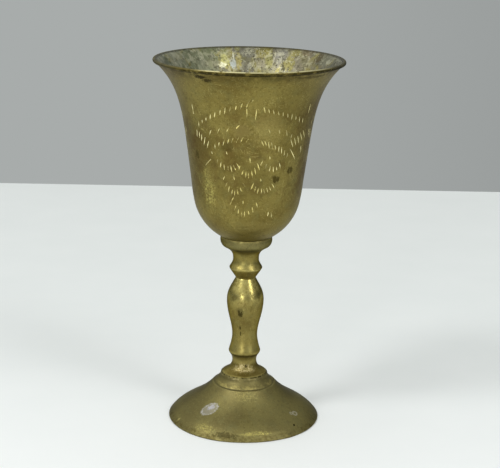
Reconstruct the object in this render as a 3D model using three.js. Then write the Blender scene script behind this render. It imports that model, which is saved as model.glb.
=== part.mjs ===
// Turned brass goblet (ciborium vessel): a flared bowl on a baluster stem and a domed foot,
// pulled together by one threaded rod. Millimetres, +Z up, origin at the centre of the base.

import * as THREE from 'three';

// ---- Driving dimensions ----

const HEIGHT = 165;
const RIM_RADIUS = 42;
const FOOT_RADIUS = 34.4;

// Heights where one piece of the stack meets the next.
const CROWN_TOP = 21.2;
const SOCKET_TOP = 30;
const GROOVE_HEIGHT = 66.3;
const BOSS_SHOULDER = 79.5;
const COLLAR_TOP = 85.5;

// Bowl: the bottom is part of a sphere, and the wall flares out to a rolled lip.
const BOWL_SPHERE_RADIUS = 24;
const BOWL_SPHERE_HEIGHT = 107;
const BOWL_FLAT_RADIUS = 5;
const BOWL_WALL = 1.1;
const LIP_RADIUS = 0.8;

// Stem: the widest and narrowest places, from the top down.
const COLLAR_RADIUS = 11.4;
const COLLAR_WALL = 1.1;
const UPPER_NECK = { radius: 5.8, height: 75.3 };
const KNOP = { radius: 7.45, height: 71 };
const GROOVE_RADIUS = 4.45;
const BELLY = { radius: 8.35, height: 56 };
const WAIST = { radius: 5.7, height: 39.4 };
const BEAD = { radius: 7.2, height: 31.5 };
const LOWER_NECK = { radius: 5.5, height: 27.2 };
const JOINT_RADIUS = 6.4;
const SPIGOT = { radius: 3.9, length: 1.5 };

// Foot: a hollow skirt of one thickness under a crown that carries the stem.
const CROWN_RADIUS = 10.6;
const CROWN_UNDERSIDE = 19.6;
const FOOT_WALL = 1.6;
const FOOT_RING_WIDTH = 1.35;
const EDGE_RADIUS = 0.25;

// Fastening: an M5 rod, with its tapped boss above and its nut and washers under the crown.
const ROD = { radius: 2.5, hole: 2.75, bottom: 11.2, top: 82 };
const BOSS = { radius: 5, spigotRadius: 4, tappedRadius: 2.6, bottom: 72 };
const FLAT_WASHER = { radius: 7.5, thickness: 1.2 };
const SPRING_WASHER = { hole: 2.65, radius: 4.6, thickness: 1.2, cut: 0.25 };
const NUT = { hole: 2.65, acrossFlats: 8, thickness: 4 };

// Clearance around pieces that slot together.
const FIT_GAP = 0.2;

// Segments round a full turn.
const FINE = 44;
const MEDIUM = 28;
const SMALL = 20;

// ---- Materials ----

const agedBrass = () => new THREE.MeshStandardMaterial({ color: 0x7d7341, roughness: 0.5, metalness: 1 });
const darkBrass = () => new THREE.MeshStandardMaterial({ color: 0x6c6238, roughness: 0.55, metalness: 1 });
const zincSteel = () => new THREE.MeshStandardMaterial({ color: 0x8d9092, roughness: 0.4, metalness: 1 });

// ---- Helpers ----

// A point of an outline.
const at = (radius, height) => new THREE.Vector2(radius, height);

// A solid of revolution about +Z. The outline runs anticlockwise in (radius, height).
function turned(name, outline, segments, material) {
  const geometry = new THREE.LatheGeometry(outline, segments);
  geometry.rotateX(Math.PI / 2);
  const mesh = new THREE.Mesh(geometry, material);
  mesh.name = name;
  return mesh;
}

// A flat plate of some shape, standing on a height.
function plate(name, shape, thickness, underside, material) {
  const geometry = new THREE.ExtrudeGeometry(shape, {
    depth: thickness,
    bevelEnabled: false,
    curveSegments: SMALL,
  });
  const mesh = new THREE.Mesh(geometry, material);
  mesh.name = name;
  mesh.position.z = underside;
  return mesh;
}

// Points along a cubic curve, which leaves its start and meets its end along the two handles.
function sweep(start, startHandle, endHandle, end, steps) {
  return new THREE.CubicBezierCurve(start, startHandle, endHandle, end).getPoints(steps);
}

// Points along a circle, with the angles in degrees from the outward direction.
function arc(centre, radius, fromAngle, toAngle, steps) {
  const [start, end] = [fromAngle, toAngle].map(THREE.MathUtils.degToRad);
  return new THREE.EllipseCurve(centre.x, centre.y, radius, radius, start, end).getPoints(steps);
}

// The inner face of a wall: its outer face moved in by the thickness, in reverse order.
function innerFace(outer, thickness) {
  const moved = outer.map((point, i) => {
    const before = outer[Math.max(i - 1, 0)];
    const after = outer[Math.min(i + 1, outer.length - 1)];
    const along = after.clone().sub(before).normalize();
    return at(point.x - thickness * along.y, point.y + thickness * along.x);
  });
  return moved.reverse();
}

// An outline that doesn't touch the axis ends where it starts.
const ring = (outline) => [...outline, outline[0].clone()];

// ---- Bowl ----

const bowlSeat = BOWL_SPHERE_HEIGHT - Math.sqrt(BOWL_SPHERE_RADIUS ** 2 - BOWL_FLAT_RADIUS ** 2);

function cupBowl() {
  const sphereCentre = at(0, BOWL_SPHERE_HEIGHT);
  const flatEdgeAngle = -THREE.MathUtils.radToDeg(Math.acos(BOWL_FLAT_RADIUS / BOWL_SPHERE_RADIUS));
  const bottom = arc(sphereCentre, BOWL_SPHERE_RADIUS, flatEdgeAngle, -8, 7);
  const lip = arc(at(RIM_RADIUS - LIP_RADIUS, HEIGHT - LIP_RADIUS), LIP_RADIUS, -115, 135, 6);
  const wall = sweep(bottom.at(-1), at(28.8, 139.3), at(28.4, 151.4), lip[0], 11);
  const outside = [...bottom, ...wall.slice(1)];
  const inside = innerFace(outside, BOWL_WALL).slice(1, -1);
  const outline = [
    at(0, bowlSeat),
    ...outside,
    ...lip.slice(1),
    ...inside,
    at(0, BOWL_SPHERE_HEIGHT - BOWL_SPHERE_RADIUS + BOWL_WALL),
  ];
  return turned('cup_bowl', outline, FINE, agedBrass());
}

// The boss is brazed to the flat under the bowl, and its spigot is tapped for the rod.
function bowlBoss() {
  const tappedTop = ROD.top + FIT_GAP;
  const outline = [
    at(0, tappedTop),
    at(BOSS.tappedRadius, tappedTop),
    at(BOSS.tappedRadius, BOSS.bottom),
    at(BOSS.spigotRadius, BOSS.bottom),
    at(BOSS.spigotRadius, BOSS_SHOULDER),
    at(BOSS.radius, BOSS_SHOULDER),
    at(BOSS.radius, bowlSeat),
    at(0, bowlSeat),
  ];
  return turned('bowl_boss', outline, SMALL, darkBrass());
}

// ---- Stem ----

// Collar, upper neck and sharp-edged knop. The bowl's boss stands on a shelf inside the collar.
function upperKnop() {
  const groove = at(GROOVE_RADIUS, GROOVE_HEIGHT);
  const edge = at(KNOP.radius, KNOP.height);
  const neck = at(UPPER_NECK.radius, UPPER_NECK.height);
  const cup = COLLAR_RADIUS - COLLAR_WALL;
  const shelf = BOSS.radius + FIT_GAP;
  const spigotHole = BOSS.spigotRadius + FIT_GAP;
  const spigotFloor = BOSS.bottom - FIT_GAP;
  const outline = [
    at(ROD.hole, GROOVE_HEIGHT),
    ...sweep(groove, at(5, 67.3), at(7.1, 70), edge, 4),
    ...sweep(edge, at(7, 72.3), at(neck.x, 73), neck, 5).slice(1),
    ...sweep(neck, at(neck.x, 78.8), at(8, 79.8), at(10.6, 81.4), 6).slice(1),
    at(COLLAR_RADIUS - EDGE_RADIUS, 82.1),
    at(COLLAR_RADIUS, COLLAR_TOP),
    at(cup, COLLAR_TOP - 0.5),
    at(cup, COLLAR_TOP - 1.3),
    at(shelf, COLLAR_TOP - 3.3),
    at(shelf, BOSS_SHOULDER),
    at(spigotHole, BOSS_SHOULDER),
    at(spigotHole, spigotFloor),
    at(ROD.hole, spigotFloor),
  ];
  return turned('upper_knop', ring(outline), MEDIUM, darkBrass());
}

// Baluster, from its spigot up: a bead, a slim waist, a full belly and a narrow top.
function balusterStem() {
  const beadTop = at(BEAD.radius - 0.05, BEAD.height + 0.4);
  const waist = at(WAIST.radius, WAIST.height);
  const belly = at(BELLY.radius, BELLY.height);
  const groove = at(GROOVE_RADIUS, GROOVE_HEIGHT);
  const outline = [
    at(ROD.hole, SOCKET_TOP - SPIGOT.length),
    at(SPIGOT.radius, SOCKET_TOP - SPIGOT.length),
    at(SPIGOT.radius, SOCKET_TOP),
    at(JOINT_RADIUS, SOCKET_TOP),
    at(BEAD.radius - 0.1, BEAD.height - 0.4),
    at(BEAD.radius, BEAD.height),
    ...sweep(beadTop, at(6.5, 34.1), at(waist.x, 36.8), waist, 5),
    ...sweep(waist, at(waist.x, 44.7), at(belly.x, 49.3), belly, 7).slice(1),
    ...sweep(belly, at(belly.x, 60.2), at(6.2, 62.8), groove, 7).slice(1),
    at(ROD.hole, GROOVE_HEIGHT),
  ];
  return turned('baluster_stem', ring(outline), MEDIUM, agedBrass());
}

// Short neck with a trumpet-shaped base. The stem's spigot stands in its top.
function footSocket() {
  const base = at(CROWN_RADIUS - 0.5, CROWN_TOP);
  const flare = at(base.x, CROWN_TOP + EDGE_RADIUS);
  const neck = at(LOWER_NECK.radius, LOWER_NECK.height);
  const recess = SPIGOT.radius + FIT_GAP;
  const recessFloor = SOCKET_TOP - SPIGOT.length - FIT_GAP;
  const outline = [
    at(ROD.hole, CROWN_TOP),
    base,
    ...sweep(flare, at(8.7, 22.5), at(neck.x, 23.1), neck, 7),
    ...sweep(neck, at(neck.x, 28.1), at(5.7, 28.8), at(JOINT_RADIUS, SOCKET_TOP), 3).slice(1),
    at(recess, SOCKET_TOP),
    at(recess, recessFloor),
    at(ROD.hole, recessFloor),
  ];
  return turned('foot_socket', ring(outline), MEDIUM, darkBrass());
}

// ---- Foot ----

// Skirt, a turned groove, then the crown. The flat ring round the bottom is what it stands on.
function domedFoot() {
  const skirt = sweep(at(FOOT_RADIUS, 0.4), at(29.85, 6.8), at(22.3, 7.4), at(14.3, 16.5), 11);
  const underSkirt = innerFace(skirt, FOOT_WALL).filter((point) => point.y > FOOT_WALL / 2);
  const crown = sweep(at(13.2, 17.2), at(11.9, 18.4), at(11, 19.2), at(CROWN_RADIUS + 0.2, 20.1), 4);
  const outline = [
    at(ROD.hole, CROWN_UNDERSIDE),
    at(CROWN_RADIUS - 2.2, CROWN_UNDERSIDE),
    at(CROWN_RADIUS - 1, CROWN_UNDERSIDE - 0.8),
    ...underSkirt,
    at(FOOT_RADIUS - EDGE_RADIUS - FOOT_RING_WIDTH, 0),
    at(FOOT_RADIUS - EDGE_RADIUS, 0),
    ...skirt,
    at(13.6, 16.6),
    ...crown,
    at(CROWN_RADIUS, CROWN_TOP - EDGE_RADIUS),
    at(CROWN_RADIUS - EDGE_RADIUS, CROWN_TOP),
    at(ROD.hole, CROWN_TOP),
  ];
  return turned('domed_foot', ring(outline), FINE, agedBrass());
}

// ---- Fastening ----

function tieRod() {
  const outline = [at(0, ROD.bottom), at(ROD.radius, ROD.bottom), at(ROD.radius, ROD.top), at(0, ROD.top)];
  return turned('tie_rod', outline, SMALL, zincSteel());
}

function flatWasher(underside) {
  const top = underside + FLAT_WASHER.thickness;
  const outline = [
    at(ROD.hole, underside),
    at(FLAT_WASHER.radius, underside),
    at(FLAT_WASHER.radius, top),
    at(ROD.hole, top),
  ];
  return turned('foot_washer', ring(outline), MEDIUM, zincSteel());
}

// A ring with a narrow cut through it, pressed flat by the nut.
function springWasher(underside) {
  const start = SPRING_WASHER.cut / 2;
  const end = 2 * Math.PI - start;
  const shape = new THREE.Shape();
  shape.absarc(0, 0, SPRING_WASHER.radius, start, end, false);
  shape.absarc(0, 0, SPRING_WASHER.hole, end, start, true);
  return plate('spring_washer', shape, SPRING_WASHER.thickness, underside, zincSteel());
}

function hexNut(underside) {
  const cornerRadius = NUT.acrossFlats / Math.sqrt(3);
  const corners = Array.from({ length: 6 }, (_, i) => {
    const angle = (i * Math.PI) / 3;
    return at(cornerRadius * Math.cos(angle), cornerRadius * Math.sin(angle));
  });
  const shape = new THREE.Shape(corners);
  const hole = new THREE.Path().absarc(0, 0, NUT.hole, 0, 2 * Math.PI, true);
  shape.holes.push(hole);
  return plate('hex_nut', shape, NUT.thickness, underside, zincSteel());
}

// ---- Assembly ----

const washerUnderside = CROWN_UNDERSIDE - FLAT_WASHER.thickness;
const springUnderside = washerUnderside - SPRING_WASHER.thickness;
const nutUnderside = springUnderside - NUT.thickness;

const bowl = new THREE.Group();
bowl.add(cupBowl(), bowlBoss());

const stem = new THREE.Group();
stem.add(upperKnop(), balusterStem(), footSocket());

const foot = new THREE.Group();
foot.add(domedFoot());

const fastening = new THREE.Group();
fastening.add(tieRod(), flatWasher(washerUnderside), springWasher(springUnderside), hexNut(nutUnderside));

const ciboriumVessel = new THREE.Group();
ciboriumVessel.add(bowl, stem, foot, fastening);

export default ciboriumVessel;
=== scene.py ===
import math
import random
from functools import partial

import bpy
import numpy as np
from mathutils import Matrix, Vector, noise


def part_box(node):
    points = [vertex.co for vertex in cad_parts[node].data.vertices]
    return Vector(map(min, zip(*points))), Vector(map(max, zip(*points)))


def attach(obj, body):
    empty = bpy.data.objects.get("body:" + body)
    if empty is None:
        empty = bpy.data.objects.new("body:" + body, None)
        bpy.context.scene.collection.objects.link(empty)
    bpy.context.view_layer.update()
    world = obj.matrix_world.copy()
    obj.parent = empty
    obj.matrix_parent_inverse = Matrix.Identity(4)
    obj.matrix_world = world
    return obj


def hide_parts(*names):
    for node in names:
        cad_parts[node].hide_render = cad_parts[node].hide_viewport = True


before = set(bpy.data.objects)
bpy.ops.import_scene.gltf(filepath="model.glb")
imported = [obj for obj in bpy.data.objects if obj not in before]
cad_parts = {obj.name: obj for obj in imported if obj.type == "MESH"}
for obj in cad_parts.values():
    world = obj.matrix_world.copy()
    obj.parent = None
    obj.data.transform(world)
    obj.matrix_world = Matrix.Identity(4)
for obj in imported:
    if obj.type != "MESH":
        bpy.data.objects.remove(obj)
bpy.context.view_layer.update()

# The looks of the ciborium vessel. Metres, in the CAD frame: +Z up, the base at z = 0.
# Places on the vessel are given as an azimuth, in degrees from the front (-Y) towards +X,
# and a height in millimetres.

MM = 0.001


# ---- outlines of the turned pieces

EDGE_EASE = 0.14 * MM
# An outline has a corner where it turns this far, or less far but more than its neighbours do.
CORNER_TURN = math.radians(45.5)
LONE_CORNER_TURN = math.radians(24)
LIKE_ITS_NEIGHBOUR = 0.55
# How convex or hollow a place is: the turns within this reach, as a share of a full bend in radians.
BEND_REACH = 0.5 * MM
FULL_BEND = 1.1


def section_of(node):
    """A turned node's section: (radius, height) points, anticlockwise, and whether they close."""
    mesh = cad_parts[node].data
    grid = 1e-6
    on_section = {}
    for vertex in mesh.vertices:
        x, y, z = vertex.co
        if abs(y) < grid and x > -grid:
            on_section[vertex.index] = (round(x / grid), round(z / grid))
    links = {}
    for edge in mesh.edges:
        a, b = (on_section.get(i) for i in edge.vertices)
        if a is not None and b is not None and a != b:
            links.setdefault(a, set()).add(b)
            links.setdefault(b, set()).add(a)
    ends = sorted(point for point, near in links.items() if len(near) == 1)
    walk = [ends[0] if ends else min(links)]
    while True:
        onward = [p for p in sorted(links[walk[-1]]) if p not in walk[-2:]]
        if not onward or onward[0] == walk[0]:
            break
        walk.append(onward[0])
    points = np.array(walk, float) * grid
    x, y = points.T
    area = np.sum(x * np.roll(y, -1) - np.roll(x, -1) * y)
    return (points if area > 0 else points[::-1]), not ends


def turn_angles(points):
    """How far the outline turns at each point, in radians, anticlockwise positive."""
    before = points - np.roll(points, 1, axis=0)
    after = np.roll(points, -1, axis=0) - points
    cross = before[:, 0] * after[:, 1] - before[:, 1] * after[:, 0]
    return np.arctan2(cross, np.sum(before * after, axis=1))


def corners_of(points, closed):
    """Which points are sharp corners, and not one step of a round bend."""
    turn = turn_angles(points)
    neighbours = np.stack([np.roll(turn, 1), np.roll(turn, -1)])
    alike = np.abs(neighbours) > LIKE_ITS_NEIGHBOUR * np.abs(turn)
    even_bend = np.any((neighbours * turn > 0) & alike, axis=0)
    sharp = (np.abs(turn) > CORNER_TURN) | ((np.abs(turn) > LONE_CORNER_TURN) & ~even_bend)
    if not closed:
        sharp[[0, -1]] = True
    return sharp


def tangents_of(points, sharp):
    """The direction through each smooth point."""
    ahead = np.roll(points, -1, axis=0) - points
    length = np.linalg.norm(ahead, axis=1)
    along = ahead / np.maximum(length, 1e-12)[:, None]
    tangent = np.zeros_like(points)
    for i in np.nonzero(~sharp)[0]:
        mixed = along[i - 1] * length[i] + along[i] * length[i - 1]
        tangent[i] = mixed / np.linalg.norm(mixed)
    return along, length, tangent


def span_points(start, end, t0, t1, values):
    """Points on the smooth curve from start to end that leaves along t0 and arrives along t1."""
    size = np.linalg.norm(end - start)
    curve = []
    for t in values:
        h = (2 * t**3 - 3 * t**2 + 1, t**3 - 2 * t**2 + t, 3 * t**2 - 2 * t**3, t**3 - t**2)
        curve.append(h[0] * start + h[1] * size * t0 + h[2] * end + h[3] * size * t1)
    return curve


def end_tangents(chord, t0, t1, sharp_start, sharp_end):
    """The directions that a curve leaves and arrives along. At a corner the other end decides."""
    if sharp_start:
        t0 = chord if sharp_end else 2 * (chord @ t1) * chord - t1
    if sharp_end:
        t1 = chord if sharp_start else 2 * (chord @ t0) * chord - t0
    return t0, t1


def refined(points, closed, step):
    """The outline with its curves filled in, and its sharp corners eased.

    step is a function that gives the spacing at a height.
    """
    count = len(points)
    sharp = corners_of(points, closed)
    along, length, tangent = tangents_of(points, sharp)
    out = []
    for i in range(count if closed else count - 1):
        j = (i + 1) % count
        chord, size = along[i], length[i]
        t0, t1 = end_tangents(chord, tangent[i], tangent[j], sharp[i], sharp[j])
        eased_start = sharp[i] and (closed or i > 0)
        eased_end = sharp[j] and (closed or j < count - 1)
        ease = min(EDGE_EASE, size / 4) / size
        first = ease if eased_start else 0.0
        last = 1 - ease if eased_end else 1.0
        steps = max(1, math.ceil(size / step((points[i, 1] + points[j, 1]) / 2)))
        values = list(np.linspace(first, last, steps + 1))
        if not eased_end and (closed or j < count - 1):
            values.pop()
        out.extend(span_points(points[i], points[j], t0, t1, values))
        if eased_end:
            following = np.array(points[j] + along[j] * min(EDGE_EASE, length[j] / 4))
            out.append(0.5 * points[j] + 0.25 * (out[-1] + following))
    return np.array(out)


def bend_of(outline, closed):
    """How convex (up to 1) or hollow (down to -1) the outline is round each point."""
    turn = turn_angles(outline)
    if not closed:
        turn[[0, -1]] = 0
    gap = np.linalg.norm(outline[:, None] - outline[None], axis=2)
    near = np.exp(-((gap / BEND_REACH) ** 2))
    return np.clip(near @ turn / FULL_BEND, -1, 1)


def radius_at(outline, height):
    """The outer radius of a turned outline at a height."""
    ahead = np.roll(outline, -1, axis=0)
    low, high = np.minimum(outline[:, 1], ahead[:, 1]), np.maximum(outline[:, 1], ahead[:, 1])
    crossed = np.nonzero((low <= height) & (height < high))[0]
    share = (height - outline[crossed, 1]) / (ahead[crossed, 1] - outline[crossed, 1])
    return np.max(outline[crossed, 0] + share * (ahead[crossed, 0] - outline[crossed, 0]))


def lean_at(outline, height):
    """How far a turned surface leans in from upright at a height, in radians."""
    reach = 0.4 * MM
    inwards = radius_at(outline, height - reach) - radius_at(outline, height + reach)
    return math.atan2(inwards, 2 * reach)


def place(radius, azimuth, height):
    """The point at a radius, an azimuth in degrees from the front and a height."""
    turn = math.radians(azimuth)
    return Vector((radius * math.sin(turn), -radius * math.cos(turn), height))


# ---- meshes

def add_object(name, data):
    made = bpy.data.objects.new(name, data)
    bpy.context.scene.collection.objects.link(made)
    return made


def new_object(name, vertices, faces):
    mesh = bpy.data.meshes.new(name)
    mesh.from_pydata([tuple(v) for v in vertices], [], faces)
    mesh.update()
    return add_object(name, mesh)


def polar(radius, angle, height):
    return radius * math.cos(angle), radius * math.sin(angle), height


def revolve(name, outline, closed, segments):
    """The solid that an outline sweeps round the Z axis."""
    angles = np.arange(segments) * 2 * math.pi / segments
    vertices, rings = [], []
    for i, (radius, height) in enumerate(outline):
        single = not closed and i in (0, len(outline) - 1)
        rings.append([len(vertices) + (0 if single else k) for k in range(segments)])
        if single:
            vertices.append((0.0, 0.0, height))
        else:
            vertices.extend(polar(radius, angle, height) for angle in angles)
    faces = []
    for i in range(len(outline) if closed else len(outline) - 1):
        low, high = rings[i], rings[(i + 1) % len(outline)]
        for k in range(segments):
            n = (k + 1) % segments
            faces.append(tuple(dict.fromkeys((low[k], low[n], high[n], high[k]))))
    return new_object(name, vertices, faces)


def coordinates(piece):
    values = np.zeros(len(piece.data.vertices) * 3)
    piece.data.vertices.foreach_get("co", values)
    return values.reshape(-1, 3)


def set_coordinates(piece, values):
    piece.data.vertices.foreach_set("co", values.ravel())
    piece.data.update()


def store(piece, name, values):
    """Keeps one number for each vertex, which the materials read by name."""
    layer = piece.data.attributes.new(name, "FLOAT", "POINT")
    layer.data.foreach_set("value", np.asarray(values, np.float32))


def push_out(piece, push_at):
    """Moves each vertex away from the axis by what push_at gives for its place."""
    co = coordinates(piece)
    for i, (x, y, z) in enumerate(co):
        push = push_at(x, y, z)
        reach = math.hypot(x, y)
        if reach > 1e-9:
            co[i, 0] += x / reach * push
            co[i, 1] += y / reach * push
    set_coordinates(piece, co)


def store_section(piece, outline, closed, inside):
    """Stores how convex or hollow each vertex's place is, and whether it is on the inner side."""
    bend = bend_of(outline, closed)
    co = coordinates(piece)
    radius = np.hypot(co[:, 0], co[:, 1])
    nearest = np.zeros(len(co), int)
    at_once = 4000
    for first in range(0, len(co), at_once):
        part = slice(first, first + at_once)
        across = radius[part, None] - outline[None, :, 0]
        up = co[part, 2, None] - outline[None, :, 1]
        nearest[part] = np.argmin(across**2 + up**2, axis=1)
    store(piece, "bend", bend[nearest])
    store(piece, "inside", np.asarray(inside, float)[nearest])


def smooth(piece, crease=math.radians(40), cut_slot=None):
    """Smooth shading, with hard edges at sharp bends and round the faces of the cut slot."""
    mesh = piece.data
    mesh.shade_smooth()
    sides = {}
    for polygon in mesh.polygons:
        for key in polygon.edge_keys:
            sides.setdefault(key, []).append(polygon)
    limit = math.cos(crease)
    hard = []
    for edge in mesh.edges:
        a, b = sides[edge.key][0], sides[edge.key][-1]
        cut_edge = (a.material_index == cut_slot) != (b.material_index == cut_slot)
        hard.append(cut_edge or a.normal.dot(b.normal) < limit)
    layer = mesh.attributes.new("sharp_edge", "BOOLEAN", "EDGE")
    layer.data.foreach_set("value", hard)


def boolean(piece, other, operation):
    """Cuts or joins a piece with another, which is used up. Its faces keep their own material."""
    modifier = piece.modifiers.new("join", "BOOLEAN")
    modifier.operation = operation
    modifier.object = other
    modifier.solver = "MANIFOLD"
    bpy.context.view_layer.update()
    result = piece.evaluated_get(bpy.context.evaluated_depsgraph_get())
    mesh = bpy.data.meshes.new_from_object(result)
    piece.modifiers.clear()
    piece.data = mesh
    bpy.data.objects.remove(other)


# ---- material nodes

# The noise that makes a mark's edge ragged is finer on small marks. Millimetres.
SMALL_MARK = 2.5
FINE_GRAIN = 0.5
COARSE_GRAIN = 1.2


def shade(*rgb):
    """A colour given as 0 to 255 screen values, as the shaders take it."""
    return tuple((c / 255) ** 2.2 for c in rgb) + (1.0,)


class Nodes:
    """A node tree, with a short call for each kind of node that it gets."""

    def __init__(self, tree):
        self.tree = tree

    def node(self, kind, inputs=None, **settings):
        made = self.tree.nodes.new("ShaderNode" + kind)
        for key, value in settings.items():
            setattr(made, key, value)
        for key, value in (inputs or {}).items():
            if isinstance(value, bpy.types.NodeSocket):
                self.tree.links.new(value, made.inputs[key])
            else:
                made.inputs[key].default_value = value
        return made

    def math(self, operation, a, b=0.0, clamp=False):
        return self.node("Math", {0: a, 1: b}, operation=operation, use_clamp=clamp).outputs[0]

    def times(self, *values):
        product = values[0]
        for value in values[1:]:
            product = self.math("MULTIPLY", product, value)
        return product

    def plus(self, *values):
        total = values[0]
        for value in values[1:]:
            total = self.math("ADD", total, value)
        return total

    def ramp(self, value, low, high):
        """0 at low and 1 at high, with a soft step between them."""
        inputs = {"Value": value, "From Min": low, "From Max": high}
        return self.node("MapRange", inputs, interpolation_type="SMOOTHSTEP", clamp=True).outputs[0]

    def band(self, value, low, full, still_full, high):
        """1 from full to still_full, and 0 below low and above high, with soft steps."""
        return self.times(self.ramp(value, low, full), self.ramp(value, high, still_full))

    def span(self, value, low, high):
        """A value from 0 to 1 brought to the range low to high."""
        return self.node("MapRange", {"Value": value, "To Min": low, "To Max": high}).outputs[0]


class Shader(Nodes):
    """A material. Its sizes and places are in millimetres."""

    def __init__(self, name):
        self.material = bpy.data.materials.new(name)
        self.material.use_nodes = True
        super().__init__(self.material.node_tree)
        self.tree.nodes.clear()
        metres = self.node("TexCoord").outputs["Object"]
        scaled = self.node("VectorMath", {0: metres, "Scale": 1 / MM}, operation="SCALE")
        self.place = scaled.outputs[0]

    def mix(self, factor, a, b):
        """Colour a where the factor is 0 and b where it is 1."""
        return self.node("Mix", {0: factor, 6: a, 7: b}, data_type="RGBA").outputs[2]

    def axes(self):
        """The place's X, Y and Z."""
        return self.node("SeparateXYZ", {0: self.place}).outputs

    def height(self):
        return self.axes()["Z"]

    def shifted(self, *offset):
        """The place moved, for noise that has nothing to do with the rest."""
        return self.stretch((1, 1, 1), offset)

    def stretch(self, scale, offset=(0, 0, 0), turn=(0, 0, 0)):
        inputs = {"Vector": self.place, "Scale": scale, "Location": offset, "Rotation": turn}
        return self.node("Mapping", inputs).outputs[0]

    def noise(self, size, detail=4.0, roughness=0.55, where=None, distortion=0.0):
        """Noise whose patches are about a size across, in millimetres."""
        inputs = {"Vector": where or self.place, "Scale": 1 / size, "Detail": detail}
        inputs.update({"Roughness": roughness, "Distortion": distortion})
        return self.node("TexNoise", inputs).outputs["Fac"]

    def attribute(self, name):
        return self.node("Attribute", attribute_name=name).outputs["Fac"]

    def finish(self, color, roughness, bump, metallic=1.0, relief=0.05, tint=(1, 1, 1, 1)):
        """The surface shader. relief is the height of the bumps in millimetres."""
        raised = self.node("Bump", {"Height": bump, "Strength": 1.0, "Distance": relief * MM})
        inputs = {"Base Color": color, "Roughness": roughness, "Metallic": metallic}
        inputs.update({"Normal": raised.outputs[0], "Specular Tint": tint})
        surface = self.node("BsdfPrincipled", inputs)
        output = self.node("OutputMaterial")
        self.tree.links.new(surface.outputs[0], output.inputs["Surface"])
        return self.material


def round_the_axis(shader, fineness):
    """Noise drawn out round the axis, as a lathe tool leaves it."""
    x, y, z = shader.axes()
    flat = shader.node("CombineXYZ", {0: x, 1: y}).outputs[0]
    radius = shader.node("VectorMath", {0: flat}, operation="LENGTH").outputs["Value"]
    turned = shader.node("VectorMath", {0: flat}, operation="NORMALIZE").outputs[0]
    along = {0: shader.times(radius, fineness), 2: shader.times(z, fineness)}
    where = shader.node("VectorMath", {0: turned, 1: shader.node("CombineXYZ", along).outputs[0]})
    return shader.noise(1.0, 3, 0.6, where.outputs[0])


def hairlines(shader, scale, width, seed, turn=(0, 0, 0)):
    """Thin curved scratches, where stretched noise passes its middle value. They come and go."""
    where = shader.stretch(scale, (seed, seed * 2, seed * 3), turn)
    field = shader.noise(1.0, 1.5, 0.5, where, 0.6)
    line = shader.ramp(shader.math("ABSOLUTE", shader.plus(field, -0.5)), width, 0.0)
    shown = shader.ramp(shader.noise(9, 2, 0.5, shader.shifted(seed * 7, 0, 0)), 0.52, 0.64)
    return shader.times(line, shown)


# ---- brass

BRASS = shade(141, 128, 71)
BRASS_DEEP = shade(120, 106, 57)
BRASS_GREEN = shade(128, 123, 76)
BRASS_BROWN = shade(100, 80, 46)
BRASS_DARK = shade(84, 74, 38)
BRASS_SHADOW = shade(66, 60, 36)
BRASS_LIGHT = shade(178, 164, 100)
BRASS_GOLD = shade(206, 194, 110)
BRASS_BRIGHT = shade(228, 214, 134)
# Pale worn metal, also used for painted highlights and glints.
PALE_WEAR_AND_GLINT = shade(206, 190, 142)
BRASS_RAW = shade(250, 240, 180)
# Dark grime in specks, hollows and seams, also laid as painted shade under the lip's crest.
GRIME_AND_SHADE = shade(44, 38, 20)
HAZE = shade(112, 114, 90)
LIP_GREY = shade(86, 86, 72)
EDGE_TINT = shade(164, 168, 186)
BOWL_EDGE_TINT = shade(206, 208, 222)
STEM_EDGE_TINT = shade(134, 132, 142)


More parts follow.
